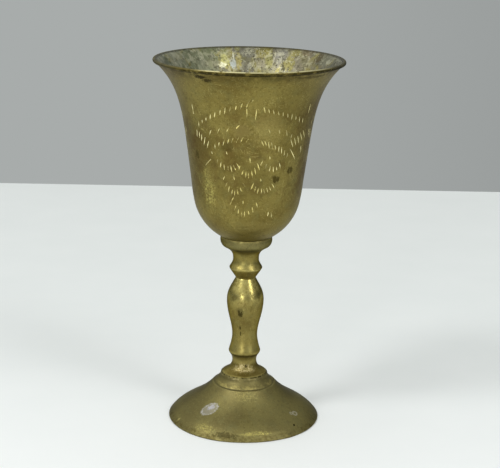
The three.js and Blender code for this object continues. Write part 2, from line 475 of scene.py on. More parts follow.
class Patina(Shader):
    """Old brass: a soft mottled patina, brown stains, specks, grime in hollows and rubbed crowns."""

    def __init__(self, name, outline, mottle=1.0, rub=1.0, dirt=1.0):
        super().__init__(name)
        self.outline = outline
        self.grains = {}
        self.bend = self.attribute("bend")
        self.large = self.noise(16, 4, 0.5)
        self.middle = self.noise(3.4, 6, 0.62)
        self.fine = self.noise(0.6, 4, 0.6)
        self.color = self.mix(self.ramp(self.large, 0.36, 0.64), BRASS_DEEP, BRASS)
        self.tint(BRASS_GREEN, self.ramp(self.middle, 0.46, 0.7), 0.5 * mottle)
        self.rough = self.span(self.middle, 0.42, 0.54)
        self.relief = self.plus(self.times(self.middle, 0.6), self.times(self.fine, 0.3))
        blotch = self.noise(6.5, 7, 0.65, self.stretch((1, 1, 0.7), (30, 5, 9)))
        self.stain(BRASS_BROWN, self.ramp(blotch, 0.6, 0.7), 0.4 * mottle)
        self.grain(mottle)
        self.rub(rub)
        self.dirt(dirt)

    def tint(self, tint, *masks):
        """Lays a tint over the places where every mask is above 0, as strong as their product."""
        self.color = self.mix(self.times(*masks), self.color, tint)

    def stain(self, tint, *masks, rougher=0.12):
        """Lays a duller tint."""
        mask = self.times(*masks)
        self.tint(tint, mask)
        self.rough = self.plus(self.rough, self.times(mask, rougher))

    def polish(self, tint, *masks, smoother=0.14):
        """Lays a brighter, smoother metal."""
        mask = self.times(*masks)
        self.tint(tint, mask)
        self.rough = self.math("SUBTRACT", self.rough, self.times(mask, smoother), clamp=True)

    def gloss(self, mask, roughness):
        """Brings the masked places to one roughness."""
        kept = self.times(self.rough, self.math("SUBTRACT", 1.0, mask))
        self.rough = self.plus(kept, self.times(mask, roughness))

    def sink(self, mask, depth):
        """Makes the masked places hollow."""
        self.relief = self.plus(self.relief, self.times(mask, -depth))

    def grain(self, mottle):
        """Fine dark specks, more of them in loose clouds, with darker clumps and light flecks."""
        specks = self.ramp(self.noise(0.75, 3, 0.6, self.shifted(11, 3, 7)), 0.64, 0.72)
        cloud = self.ramp(self.noise(11, 3, 0.5, self.shifted(2, 19, 4)), 0.48, 0.64)
        mask = self.times(specks, self.plus(self.times(cloud, 0.7), 0.3), 0.5 * mottle)
        self.stain(GRIME_AND_SHADE, mask)
        self.sink(mask, 0.8)
        clumps = self.ramp(self.noise(1.3, 4, 0.65, self.shifted(31, 6, 17)), 0.52, 0.64)
        self.tint(BRASS_DARK, clumps, 0.45 * mottle)
        flecks = self.ramp(self.noise(0.6, 3, 0.6, self.shifted(8, 21, 3)), 0.56, 0.7)
        self.tint(BRASS_LIGHT, flecks, 0.5)

    def rub(self, amount):
        """Hands wear the crowns bright."""
        crowns = self.times(self.ramp(self.bend, 0.1, 0.7), self.ramp(self.middle, 0.34, 0.6))
        self.polish(BRASS_BRIGHT, crowns, 0.7 * amount)

    def dirt(self, amount):
        """Grime gathers in the hollows."""
        hollows = self.times(self.ramp(self.bend, -0.12, -0.6), self.ramp(self.middle, 0.3, 0.62))
        self.stain(GRIME_AND_SHADE, hollows, 0.6 * amount, rougher=0.25)

    def oval(self, azimuth, height, across, up, turn=0.0, depth=0.9, ragged=0.35):
        """The reach from the middle of a ragged oval on the surface: 1 at its edge."""
        radius = radius_at(self.outline, height * MM) / MM
        facing = Matrix.Rotation(math.radians(azimuth), 3, "Z")
        facing @= Matrix.Rotation(-lean_at(self.outline, height * MM), 3, "X")
        facing @= Matrix.Rotation(math.radians(turn), 3, "Y")
        inputs = {
            "Vector": self.place,
            "Location": place(radius, azimuth, height),
            "Rotation": facing.to_euler("XYZ"),
            "Scale": (across / 2, depth, up / 2),
        }
        local = self.node("Mapping", inputs, vector_type="TEXTURE").outputs[0]
        reach = self.node("VectorMath", {0: local}, operation="LENGTH").outputs["Value"]
        size = FINE_GRAIN if min(across, up) < SMALL_MARK else COARSE_GRAIN
        if size not in self.grains:
            self.grains[size] = self.plus(self.noise(size, 5, 0.65), -0.5)
        return self.plus(reach, self.times(self.grains[size], 4 * ragged))

    def spot(self, tint, strength, *where, **shape):
        """A stain in a ragged oval."""
        self.stain(tint, self.ramp(self.oval(*where, **shape), 1.15, 0.75), strength)

    def spots(self, tint, rows, **shape):
        """A stain for each row of azimuth, height, width, height of the mark and strength."""
        for *where, strength in rows:
            self.spot(tint, strength, *where, **shape)

    def bright_patch(self, strength, *where, tint=BRASS_BRIGHT, **shape):
        """A patch of brighter, smoother metal in speckles: rubbed-through wear, and where a caller
        says so, a painted highlight too.
        """
        inside = self.ramp(self.oval(*where, **shape), 1.25, 0.4)
        speckle = self.ramp(self.noise(0.8, 4, 0.7, self.shifted(5, 9, 1)), 0.45, 0.58)
        self.polish(tint, inside, self.plus(self.times(speckle, 0.88), 0.12), strength)
        self.sink(self.times(inside, speckle), 0.5)

    def made(self, relief=0.04, edge_tint=EDGE_TINT):
        return self.finish(self.color, self.rough, self.relief, 1.0, relief, edge_tint)


SILVER = shade(128, 124, 92)
SILVER_LILAC = shade(126, 122, 106)
SILVER_GREEN = shade(136, 141, 112)
SILVER_PINK = shade(144, 134, 108)
SILVER_BLUE = shade(130, 132, 110)
SILVER_WHITE = shade(200, 197, 168)
LINING_GOLD = shade(158, 148, 84)
# Dark tarnish, also laid as painted shade along the top of the inside.
TARNISH_AND_RIM_SHADE = shade(66, 62, 44)

# Patches of the lining, and painted highlights on it: azimuth, height, width, height of the patch,
# strength and colour.
LINING_PATCHES_AND_GLINTS = (
    (266, 162.8, 14, 6, 0.7, (166, 166, 144)),
    (240, 161.5, 14, 8, 0.6, (166, 166, 144)),
    (211, 162.6, 13, 4.6, 0.6, (136, 141, 108)),
    (209, 157.6, 9, 4.4, 0.6, (156, 154, 122)),
    (181.5, 161.8, 9.5, 6.4, 0.7, (120, 118, 104)),
    (170.2, 162.8, 9, 5.6, 0.9, (126, 118, 66)),
    (171.2, 157.6, 6.4, 5, 0.75, (142, 136, 114)),
    (165.5, 158.8, 4, 8, 0.7, (136, 132, 80)),
    (157, 161.2, 6.6, 9, 0.75, (120, 118, 108)),
    (146.5, 162.6, 6.4, 5.6, 0.8, (146, 138, 82)),
    (149.5, 158.2, 6.4, 8, 0.8, (136, 129, 76)),
    (138.5, 163.2, 8, 4.4, 0.6, (132, 118, 90)),
    (132, 159, 9, 5, 0.6, (146, 140, 112)),
    (125.5, 162.2, 4.6, 6.4, 0.7, (96, 86, 60)),
    (112, 161.2, 5, 2.6, 0.7, (200, 197, 168)),
    (197.5, 162, 4.6, 4.6, 0.7, (152, 154, 104)),
    # Painted highlights of the lamp on the gold inside: a gold glow and a near-white glint.
    (198.4, 158.8, 4.2, 7, 0.85, (196, 192, 122)),
    (200.6, 156.9, 3.8, 2.8, 0.8, (250, 248, 210)),
    (188.4, 163.2, 2.6, 4, 0.7, (146, 142, 92)),
    (188.2, 158.4, 2.8, 8, 0.75, (180, 168, 104)),
    # Painted highlights: a bluish-white glint and a thin white streak.
    (192.6, 157.2, 2.8, 4.8, 0.8, (190, 198, 194)),
    (191.8, 160.4, 0.8, 4.2, 0.75, (216, 216, 188)),
    (162.2, 160.4, 0.8, 6, 0.45, (200, 194, 168)),
    (177.1, 160.4, 1, 1, 0.9, (66, 62, 44)),
)


def lining_metal(s):
    """The silver's greys, which change from the left to the right, and brass showing through."""
    patches = s.noise(5.0, 5, 0.6, s.stretch((1, 1, 0.5), (3, 8, 5)), 0.5)
    side = s.plus(s.axes()["X"], s.times(s.plus(patches, -0.5), 36))
    s.color = s.mix(s.ramp(patches, 0.4, 0.56), SILVER, SILVER_LILAC)
    s.tint(SILVER_GREEN, s.ramp(side, -6, -24), 0.85)
    s.tint(SILVER_PINK, s.ramp(side, 14, 28), 0.6)
    s.tint(SILVER_BLUE, s.ramp(side, 28, 34), 0.55)
    bare = s.ramp(s.noise(8.0, 6, 0.6, s.stretch((1, 1, 0.5), (21, 4, 2)), 0.7), 0.53, 0.58)
    s.tint(LINING_GOLD, bare, 0.6)
    # Lays the lining's patches and its painted highlights.
    for *where, strength, tint in LINING_PATCHES_AND_GLINTS:
        s.tint(shade(*tint), s.ramp(s.oval(*where, depth=3, ragged=0.5), 1.2, 0.8), strength)
    return bare, side


def lining_scratches(s, side):
    """Scratches all over, and slanting ones at the left."""
    slanting = s.noise(1.0, 2, 0.5, s.stretch((0.4, 0.4, 0.14), (21, 42, 63), (0.7, 0, 0)))
    at_left = s.times(s.ramp(slanting, 0.52, 0.58), s.ramp(side, -14, -26), 0.7)
    rising = hairlines(s, (0.5, 0.5, 1.1), 0.03, 5.0)
    crossing = hairlines(s, (1.2, 0.4, 0.35), 0.03, 12.0)
    return s.plus(rising, crossing, at_left)


def silver_lining(s):
    """Makes the patina over into the bowl's worn silver inside."""
    bare, side = lining_metal(s)
    streaks = s.ramp(s.noise(2.4, 4, 0.6, s.stretch((1, 1, 0.3), (2, 13, 8))), 0.42, 0.6)
    s.tint(TARNISH_AND_RIM_SHADE, streaks, 0.22)
    flakes = s.noise(2.2, 5, 0.62, s.stretch((1, 1, 0.7), (9, 2, 6)), 0.4)
    s.tint(SILVER_WHITE, s.ramp(flakes, 0.52, 0.6), 0.32)
    tarnish = s.ramp(s.noise(1.5, 5, 0.66, s.shifted(14, 1, 3)), 0.54, 0.62)
    s.tint(TARNISH_AND_RIM_SHADE, tarnish, 0.38)
    scratches = lining_scratches(s, side)
    s.tint(SILVER_WHITE, scratches, 0.6)
    # Painted shade: a dark line along the top of the inside, under the lip.
    s.tint(TARNISH_AND_RIM_SHADE, s.ramp(s.height(), 164.2, 164.6), 0.6)
    s.rough = s.plus(s.span(flakes, 0.4, 0.5), s.times(tarnish, 0.15))
    lost = s.plus(s.times(tarnish, -0.6), s.times(scratches, -0.5), s.times(bare, -0.5))
    s.relief = s.plus(s.times(flakes, 0.9), lost)


def lip_wear_and_painted_light(s):
    """The lip is worn bright in front, where it is drunk from, with a painted highlight along that
    crest; grey or dark elsewhere, with painted shade under its bead.
    """
    x, y, z = s.axes()
    under_lip = s.times(s.band(z, 158.5, 162.6, 163.0, 163.6), s.ramp(s.middle, 0.36, 0.58))
    s.stain(GRIME_AND_SHADE, under_lip, 0.4)
    # Painted shade under the lip's bead, weaker at the far left.
    lip_shade_weight = s.span(s.ramp(x, -38, -26), 0.35, 1.0)
    shadow = s.times(s.ramp(z, 162.9, 163.4), s.span(s.ramp(s.middle, 0.4, 0.56), 0.4, 0.8), lip_shade_weight)
    s.stain(BRASS_SHADOW, shadow)
    s.stain(LIP_GREY, s.ramp(z, 163.2, 163.8), s.ramp(y, -34, -18), 0.6)
    # A dark band under the crest: painted shade.
    groove = s.times(s.band(z, 162.9, 163.3, 164.2, 164.7), s.ramp(s.middle, 0.36, 0.5))
    s.stain(GRIME_AND_SHADE, groove, lip_shade_weight, 0.6)
    # A painted highlight along the front crest, where the lip is also worn bright.
    worn_and_lit_front = s.times(s.ramp(y, -20, -36), s.ramp(x, -25, -14))
    front_highlight_and_wear = s.times(worn_and_lit_front, s.ramp(s.middle, 0.28, 0.5), s.ramp(z, 164.6, 164.85))
    s.polish(BRASS_RAW, front_highlight_and_wear, 0.9)
    s.gloss(s.times(front_highlight_and_wear, 0.8), 0.25)


# Marks on the bowl: azimuth, height, width, height of the mark and strength.
BOWL_STAINS = (
    (28.9, 116.8, 3.3, 3.2, 0.9),
    (45, 119.9, 3.8, 3.4, 0.9),
    (-54, 125.6, 2.4, 4.4, 0.7),
    (-19, 131, 6.5, 4.5, 0.45),
    (-8, 126, 6, 6, 0.2),
    (-3.8, 93.9, 6.4, 3.4, 0.18),
    (13.5, 91.8, 7.5, 3, 0.12),
    (140, 128, 7, 5, 0.5),
    (200, 112, 4, 4, 0.7),
    (-110, 140, 6, 8, 0.4),
)
# Painted sheen: lighter patches on the front of the bowl, where the windows are reflected. Azimuth,
# height, width, height of the mark and strength.
BOWL_PAINTED_SHEEN = ((18, 141.5, 15, 10, 0.22), (-6, 138.5, 8, 7, 0.28), (6, 95, 18, 6, 0.15))
UNDER_LIP_STAINS = ((-31, 161.6, 5.4, 2.4, 0.85), (-27, 160.2, 4.6, 2.2, 0.75))


def bowl_brass(outline):
    """The bowl's brass outside, and its silver inside."""
    s = Patina("bowl_brass", outline, 0.8, 0.4)
    s.spot(BRASS_BROWN, 0.3, -47, 128, 13, 17, depth=2.0, ragged=0.7)
    s.bright_patch(0.75, -41, 110, 7.5, 13, tint=BRASS_GOLD, depth=1.2, ragged=0.5)
    s.bright_patch(0.4, -43.5, 118, 3.4, 5, tint=BRASS_GOLD, depth=1.0, ragged=0.5)
    s.bright_patch(0.15, 14, 137, 16, 14, depth=1.4, ragged=0.5)
    s.spots(BRASS_DARK, BOWL_STAINS, ragged=0.5)
    # Painted shade: the bowl's upper right and lower middle laid darker, as the light falls on them.
    s.spot(BRASS_DARK, 0.22, 44, 150, 34, 22, depth=6, ragged=0.5)
    s.spot(BRASS_DARK, 0.2, -3, 115, 30, 20, depth=6, ragged=0.4)
    handled = s.band(s.height(), 100, 112, 140, 152)
    clouds = s.ramp(s.noise(7, 6, 0.65, s.shifted(16, 2, 40)), 0.47, 0.62)
    s.stain(BRASS_BROWN, handled, clouds, 0.38)
    # Painted sheen on the front of the bowl.
    s.spots(BRASS_LIGHT, BOWL_PAINTED_SHEEN, depth=4, ragged=0.5)
    s.spots(GRIME_AND_SHADE, UNDER_LIP_STAINS, depth=2.5, ragged=0.6)
    s.spot(GRIME_AND_SHADE, 0.4, 42, 161.6, 18, 1.4, depth=3, ragged=0.6)
    lip_wear_and_painted_light(s)
    level = hairlines(s, (0.9, 0.9, 0.12), 0.014, 3.0)
    hairs = s.plus(level, hairlines(s, (0.12, 0.3, 0.8), 0.014, 8.0))
    s.polish(BRASS_BRIGHT, hairs, 0.3)
    s.sink(hairs, 0.3)
    inside = s.ramp(s.attribute("inside"), 0.4, 0.6)
    outside = s.math("SUBTRACT", 1.0, inside)
    color, rough, relief = s.color, s.rough, s.relief
    silver_lining(s)
    s.color = s.mix(inside, color, s.color)
    s.rough = s.plus(s.times(rough, outside), s.times(s.rough, inside))
    s.relief = s.plus(s.times(relief, outside), s.times(s.relief, inside))
    return s.made(0.05, BOWL_EDGE_TINT)


def cut_brass():
    """Bright-cut facets: bare metal, tarnished in patches, and all over at the upper right."""
    s = Shader("cut_brass")
    x, _, z = s.axes()
    tarnish = s.times(s.ramp(s.noise(2.2, 3), 0.42, 0.64), 0.75)
    upper_right = s.times(s.ramp(x, 2, 16), s.ramp(z, 124, 136), 0.55)
    color = s.mix(s.math("MAXIMUM", tarnish, upper_right), BRASS_RAW, BRASS)
    return s.finish(color, s.span(s.noise(0.4, 2), 0.3, 0.45), s.noise(0.3, 3), 1.0, 0.01)


# Flaws and stains on the baluster: azimuth, height, width, height of the mark, turn and strength.
BALUSTER_MARKS = (
    (-19.5, 51.4, 1.3, 3, -8, 0.6),
    (-11.8, 50.8, 1.1, 2.8, 10, 0.55),
    (-15.6, 50.6, 2.4, 2.8, 0, 0.4),
    (-19.6, 43.8, 0.7, 1.8, 0, 0.8),
    (-19, 41, 0.7, 2.2, 0, 0.7),
    (-15.5, 52.6, 2.6, 2.2, 0, 0.35),
    (52, 59.6, 1.2, 1.8, 0, 0.5),
    (43, 62.6, 1, 1.2, 0, 0.5),
    (-47, 57.4, 2.8, 2.2, 0, 0.35),
    (26, 54.5, 2.2, 6, 35, 0.2),
    (-37, 58.1, 2.4, 3.6, 0, 0.3),
    (46, 60, 1.6, 5, 0, 0.35),
    (120, 48, 2, 5, 20, 0.4),
    (190, 56, 3, 2.5, 0, 0.35),
)


def rubbed_crowns(s, z):
    """The belly's top, the knop's edge and the bead are rubbed bright and smooth."""
    rubbed = s.ramp(s.noise(1.0, 4, 0.65, s.stretch((1, 1, 0.7), (6, 6, 1))), 0.3, 0.55)
    crown = s.band(z, 52, 61, 66, 67)
    edges = s.plus(s.band(z, 70.2, 71.2, 73, 76), s.times(s.band(z, 31.5, 33, 34, 37), 0.7))
    s.tint(BRASS_BRIGHT, s.plus(crown, s.times(edges, 0.5)), rubbed, 0.42)
    s.gloss(s.times(s.plus(crown, s.times(edges, 0.6)), rubbed, 0.9), 0.22)


def stem_brass(name, outline, marks=()):
    """The stem's brass, hazy on the collar and brown round the belly."""
    s = Patina(name, outline, 0.9, 0.4)
    s.relief = s.plus(s.relief, s.times(round_the_axis(s, 2.4), 0.3))
    z = s.height()
    collar = s.ramp(z, 78.5, 80.5)
    s.tint(HAZE, collar, 0.35)
    s.stain(BRASS_DARK, collar, s.ramp(s.fine, 0.52, 0.62), 0.35)
    # A painted highlight along the collar's top edge.
    painted_collar_edge_highlight = s.times(s.ramp(z, 84.9, 85.5), s.span(s.ramp(s.middle, 0.4, 0.6), 0.3, 0.9))
    s.tint(BRASS_LIGHT, painted_collar_edge_highlight)
    s.tint(BRASS_LIGHT, s.ramp(z, 58, 52), 0.14)
    clouds = s.ramp(s.noise(4.0, 5, 0.65, s.stretch((1, 1, 0.8), (12, 3, 5))), 0.48, 0.6)
    s.stain(BRASS_BROWN, s.band(z, 42, 48, 56, 60), clouds, 0.3)
    rubbed_crowns(s, z)
    for *where, turn, strength in marks:
        s.spot(GRIME_AND_SHADE, strength, *where, turn=turn, ragged=0.4)
    s.stain(GRIME_AND_SHADE, s.ramp(z, 30.9, 30.5), s.ramp(s.middle, 0.3, 0.5), 0.6)
    return s.made(0.035, STEM_EDGE_TINT)


DRIED_RING = shade(198, 195, 190)
DRIED_HEART = shade(204, 202, 212)
SPLASH = shade(190, 184, 160)


def blotch(s, outer):
    """A dried pale blotch on the foot: a ring round a swirl, longer up the slope than across."""
    reach = s.oval(-41, 9.0, 6.2, 8.4, turn=38, depth=3, ragged=0.14)
    uneven = s.ramp(s.noise(1.0, 4, 0.7), 0.36, 0.6)
    ring = s.times(s.band(reach, 0.7, 0.85, 0.95, 1.12), s.span(uneven, 0.1, 0.75))
    film = s.times(s.ramp(reach, 1.05, 0.85), 0.3)
    s.tint(DRIED_RING, s.math("MAXIMUM", ring, film), outer)
    heart = s.oval(-40.6, 9.6, 2.8, 3.8, turn=38, depth=3, ragged=0.3)
    middle = s.times(s.ramp(heart, 1.2, 0.7), s.span(uneven, 0.3, 0.7), outer)
    s.tint(DRIED_HEART, middle)


def foot_marks(s, outer):
    """Two dried splashes, a pit, places worn bright, and painted highlights above the crease and
    high on the front.
    """
    for azimuth, height, across, up, turn in ((54.6, 6.9, 1.6, 1.6, 30), (58.7, 6.4, 3.0, 2.6, -20)):
        reach = s.oval(azimuth, height, across, up, turn=turn, depth=3, ragged=0.2)
        s.tint(SPLASH, s.band(reach, 0.2, 0.7, 0.9, 1.15), outer, 0.7)
    pit = s.times(s.ramp(s.oval(47.1, 3.7, 1.3, 1.0, depth=2), 1.1, 0.8), outer)
    s.stain(GRIME_AND_SHADE, pit)
    s.sink(pit, 2.0)
    s.bright_patch(0.4, -33, 3.6, 11, 4.4, tint=BRASS_GOLD, depth=3, ragged=0.55)
    # Worn bright, with a painted highlight above the crease.
    s.bright_patch(0.55, 11, 3.4, 15, 2.2, tint=BRASS_GOLD, depth=3, ragged=0.4)
    s.bright_patch(0.7, -64, 2.3, 1.2, 3.0, turn=20, depth=3, ragged=0.2)
    # A painted highlight high on the front of the foot.
    s.bright_patch(0.2, 3, 15.0, 12, 6.0, depth=3, ragged=0.6)
    s.bright_patch(0.4, 150, 4.0, 22, 4.0, depth=3, ragged=0.4)


def seam_dirt(s, mask):
    """A dark line along a seam, broken by noise."""
    s.stain(GRIME_AND_SHADE, mask, s.ramp(s.noise(1.4, 4, 0.6), 0.44, 0.54), 0.75)


def foot_brass(outline):
    """The foot's brass, hazy outside and ringed by the lathe underneath."""
    s = Patina("foot_brass", outline, 0.8, 0.2, 0.8)
    s.tint(HAZE, 0.32)
    outer = s.ramp(s.attribute("inside"), 0.6, 0.4)
    blotch(s, outer)
    foot_marks(s, outer)
    z = s.height()
    # A painted highlight on the crown's rim above the groove.
    painted_rim_highlight = s.times(s.band(z, 16.6, 17.0, 17.8, 18.6), s.ramp(s.middle, 0.48, 0.62), outer)
    s.tint(BRASS_LIGHT, painted_rim_highlight, 0.6)
    # Painted glints on the round edge just under the seam.
    painted_glints_under_seam = s.times(s.band(z, 20.0, 20.5, 20.7, 20.9), s.ramp(s.middle, 0.5, 0.6), outer)
    s.tint(PALE_WEAR_AND_GLINT, painted_glints_under_seam, 0.6)
    seam_dirt(s, s.times(s.ramp(z, 20.9, 21.1), outer))
    edge_dirt = s.times(s.ramp(z, 3.0, 1.6), s.ramp(s.noise(1.6, 5, 0.7), 0.46, 0.6), outer)
    s.stain(BRASS_DARK, edge_dirt, 0.5)
    s.spot(GRIME_AND_SHADE, 0.5, -14, 2.6, 12, 2.8, depth=3, ragged=0.9)
    below = s.ramp(s.attribute("inside"), 0.4, 0.6)
    lathe = round_the_axis(s, 1.6)
    s.stain(BRASS_BROWN, below, s.ramp(lathe, 0.4, 0.6), 0.5)
    s.relief = s.plus(s.relief, s.times(below, lathe, 1.2))
    return s.made(0.05)


def socket_brass(outline):
    """Lower neck brass: worn pale front and back, a painted highlight in front, a painted lighter
    neck, dirt on both seams.
    """
    s = Patina("socket_brass", outline, 0.9, 0.3, 0.6)
    s.relief = s.plus(s.relief, s.times(round_the_axis(s, 2.4), 0.4))
    # Worn pale; on the front patch also a painted highlight in the pale speckles.
    s.bright_patch(0.7, -2, 24.6, 12, 4.4, tint=PALE_WEAR_AND_GLINT, depth=2.5, ragged=0.6)
    s.bright_patch(0.4, 170, 24.4, 14, 4.0, tint=PALE_WEAR_AND_GLINT, depth=2.5, ragged=0.6)
    s.spot(GRIME_AND_SHADE, 0.9, 8, 25.5, 0.8, 1.4)
    z = s.height()
    # Painted light: the neck laid lighter against the shade under the bead.
    s.tint(BRASS_LIGHT, s.ramp(z, 25.5, 27), 0.35)
    seam_dirt(s, s.ramp(z, 21.6, 21.3))
    s.stain(GRIME_AND_SHADE, s.ramp(z, 29.2, 29.7), s.ramp(s.middle, 0.3, 0.5), 0.5)
    return s.made(0.05)


def boss_brass(outline):
    return Patina("boss_brass", outline).made()


ZINC = shade(150, 150, 146)
ZINC_BLOOM = shade(192, 192, 186)
RUST = shade(112, 72, 44)


def zinc_steel():
    """Zinc-plated steel, dulled, with white bloom and patches of rust."""
    s = Shader("zinc_steel")
    bloom = s.ramp(s.noise(2.2, 5, 0.65), 0.5, 0.66)
    rust = s.ramp(s.noise(1.4, 6, 0.7, s.shifted(7, 2, 5)), 0.56, 0.66)
    color = s.mix(bloom, ZINC, ZINC_BLOOM)
    color = s.mix(s.times(rust, 0.7), color, RUST)
    rough = s.plus(s.span(bloom, 0.34, 0.52), s.times(rust, 0.25))
    relief = s.plus(s.times(round_the_axis(s, 3.0), 0.4), s.times(bloom, 0.4), s.times(rust, 0.5))
    return s.finish(color, rough, relief, s.math("SUBTRACT", 1.0, s.times(rust, 0.6)), 0.03)


# ---- engraving on the bowl

CUT_WIDTH = 0.43
CUT_DEPTH = 0.2
# How far the cutters stand out of the bowl, and their cross-sections as shares of their half length.
CUT_RISE = 0.25
CUT_STATIONS = (-1.0, -0.72, -0.45, -0.15, 0.15, 0.45, 0.72, 1.0)
MOTIF_AZIMUTHS = (3, 121, 232)
# The hand's unevenness in a stroke's place, in millimetres, its length and its lean, in degrees.
UNEVEN_PLACE = 0.15
UNEVEN_LENGTH = (0.85, 1.35)
UNEVEN_LEAN = 5

# Rows of strokes. Each runs through three (across, height) points in millimetres, from the motif's
# middle, and ends with the number of strokes, their length, and the lean of the first and the last.
ROWS = (
    ((-25, 139.2), (-13.8, 146), (-2.2, 149.8), 11, 2.5, 8, 18),
    ((5, 147.8), (14.8, 145.2), (25.2, 141.4), 10, 2.4, -20, -4),
    ((-26.3, 135.4), (-23.2, 133.7), (-19.8, 131), 5, 3.3, 2, 18),
    ((-15.9, 130.8), (-9, 133.9), (-1.8, 134.3), 8, 2.4, 6, 30),
    ((4.8, 133.1), (10.6, 131), (16.9, 127), 9, 2.6, -24, 4),
    ((-18.4, 136.5), (-12.3, 138.2), (-5.6, 140.2), 4, 2.7, 20, 42),
    ((7.5, 138.4), (12.2, 137.7), (16, 137), 3, 2.3, -24, -13),
    ((19, 132.1), (23, 133.2), (27, 135), 5, 3.8, -26, -30),
    ((-14.6, 124.4), (-9.8, 121.5), (-5.3, 123.2), 7, 2.3, 16, -30),
    ((-4.8, 122), (-0.7, 118.7), (3.4, 122.9), 7, 2.9, 16, -18),
    ((4.8, 124.3), (9.2, 121.4), (13.2, 122.6), 6, 2.4, 20, -16),
    ((-11.5, 117.2), (-7.2, 110.8), (-2.6, 114.6), 8, 2.2, 32, -26),
    ((1, 113.9), (5.4, 111.6), (10.3, 113.9), 8, 2.9, 18, -30),
    ((-6.2, 104), (-2, 101.2), (3, 105.4), 7, 2.2, 16, -20),
)

# Single strokes: across, height, length and lean.
STROKES = (
    (-2.2, 146.9, 4.4, 2),
    (1.6, 145.8, 6, 4),
    (-1.4, 151.2, 2.2, 26),
    (0.1, 152, 1.6, 12),
    (20, 126.8, 6.4, -36),
    (18.4, 135.3, 1.8, 17),
    (25.6, 128.6, 3.6, -14),
    (-19.5, 123.1, 4.3, 48),
    (-17.5, 127.8, 1.4, -9),
    (-10.5, 128.4, 1.5, -20),
    (-0.3, 125.7, 2, -12),
    (8.3, 126.5, 1.4, -12),
    (-7.1, 117.7, 1.7, -10),
    (4.5, 116.6, 1.3, -8),
    (-7.6, 107.1, 3.8, 24),
    (-3, 106.9, 1.8, 0),
    (8.2, 101, 1.8, -2),
    (9.8, 100.5, 3.4, -16),
)

# Long strokes between the motifs: azimuth, height, length and lean.
DIVIDERS = (
    (-51, 145.8, 5, 4),
    (58, 146.4, 4.8, -4),
    (176, 146, 5, 2),
)


def motif_strokes(rng):
    """Every stroke of one motif as (across, height, length, lean), a little uneven."""
    strokes = list(STROKES)
    for start, middle, end, count, length, lean_first, lean_last in ROWS:
        start, middle, end = (np.array(p) for p in (start, middle, end))
        for k in range(count):
            t = k / (count - 1)
            bow = (middle - (start + end) / 2) * 4 * t * (1 - t)
            across, height = start + (end - start) * t + bow
            strokes.append((across, height, length, lean_first + (lean_last - lean_first) * t))
    for across, height, length, lean in strokes:
        across += rng.uniform(-UNEVEN_PLACE, UNEVEN_PLACE)
        height += rng.uniform(-UNEVEN_PLACE, UNEVEN_PLACE)
        length *= rng.uniform(*UNEVEN_LENGTH)
        yield across, height, length, lean + rng.uniform(-UNEVEN_LEAN, UNEVEN_LEAN)


def graver_cut(outline, azimuth, stroke):
    """One boat-shaped cutter that follows the surface: its vertices and faces."""
    across, height, length, lean = stroke
    radius = radius_at(outline, height * MM) / MM
    slope = (CUT_WIDTH / 2) / CUT_DEPTH
    overshoot = length / 2 * math.sqrt((CUT_DEPTH + CUT_RISE) / CUT_DEPTH)
    tilt = math.radians(lean)
    vertices = []
    for share in CUT_STATIONS:
        shift = share * overshoot
        bottom = -CUT_DEPTH + (CUT_DEPTH + CUT_RISE) * share**2
        half = slope * (CUT_RISE - bottom)
        z = height + shift * math.cos(tilt)
        middle = across + shift * math.sin(tilt)
        surface = radius_at(outline, z * MM) / MM
        corners = ((-1, CUT_RISE), (0, bottom), (1, CUT_RISE))
        if abs(share) == 1:
            corners = corners[1:2]  # the tips are points
        for side, level in corners:
            u = middle + side * half * math.cos(tilt)
            w = z - side * half * math.sin(tilt)
            vertices.append(place(surface + level, azimuth + math.degrees(u / radius), w) * MM)
    first, last = 1, len(vertices) - 4
    sides = ((0, 1), (1, 2), (2, 0))
    faces = []
    for a in range(first, last, 3):
        faces.extend((a + i, a + i + 3, a + j + 3, a + j) for i, j in sides)
    for i, j in sides:
        faces.append((0, first + i, first + j))
        faces.append((len(vertices) - 1, last + j, last + i))
    return vertices, faces


def engraving_cutters(outline):
    rng = random.Random(7)
    strokes = [(azimuth, stroke) for azimuth in MOTIF_AZIMUTHS for stroke in motif_strokes(rng)]
    strokes += [(azimuth, (0, *stroke)) for azimuth, *stroke in DIVIDERS]
    vertices, faces = [], []
    for azimuth, stroke in strokes:
        cut_vertices, cut_faces = graver_cut(outline, azimuth, stroke)
        base = len(vertices)
        vertices.extend(cut_vertices)
        faces.extend(tuple(base + v for v in face) for face in cut_faces)
    return new_object("cutters", vertices, faces)


# ---- the pieces

def settle(piece, node, body, slot, *materials):
    for material in materials:
        piece.data.materials.append(material)
    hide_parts(node)
    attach(piece, body)


def even_step(step):
    return lambda height: step * MM


def make_turned(name, node, body, slot, metal, segments, step, inside=None, shape=None):
    """A turned piece in place of its CAD node. metal makes its material from its outline."""
    points, closed = section_of(node)
    outline = refined(points, closed, step)
    piece = revolve(name, outline, closed, segments)
    if shape:
        shape(piece)
    flags = inside(outline) if inside else np.zeros(len(outline))
    store_section(piece, outline, closed, flags)
    smooth(piece)
    settle(piece, node, body, slot, metal(outline))


# The rolled lip is this high, and has a finer outline than the wall.
LIP_HEIGHT = 2 * MM
BOWL_WOBBLE = 0.1 * MM
BOWL_WOBBLE_SIZE = 18 * MM
CUT_SLOT = 1


def bowl_wobble(x, y, z):
    """The wall goes in and out a little, as spun metal is never quite true."""
    return BOWL_WOBBLE * noise.noise(Vector((x, y, z)) / BOWL_WOBBLE_SIZE)


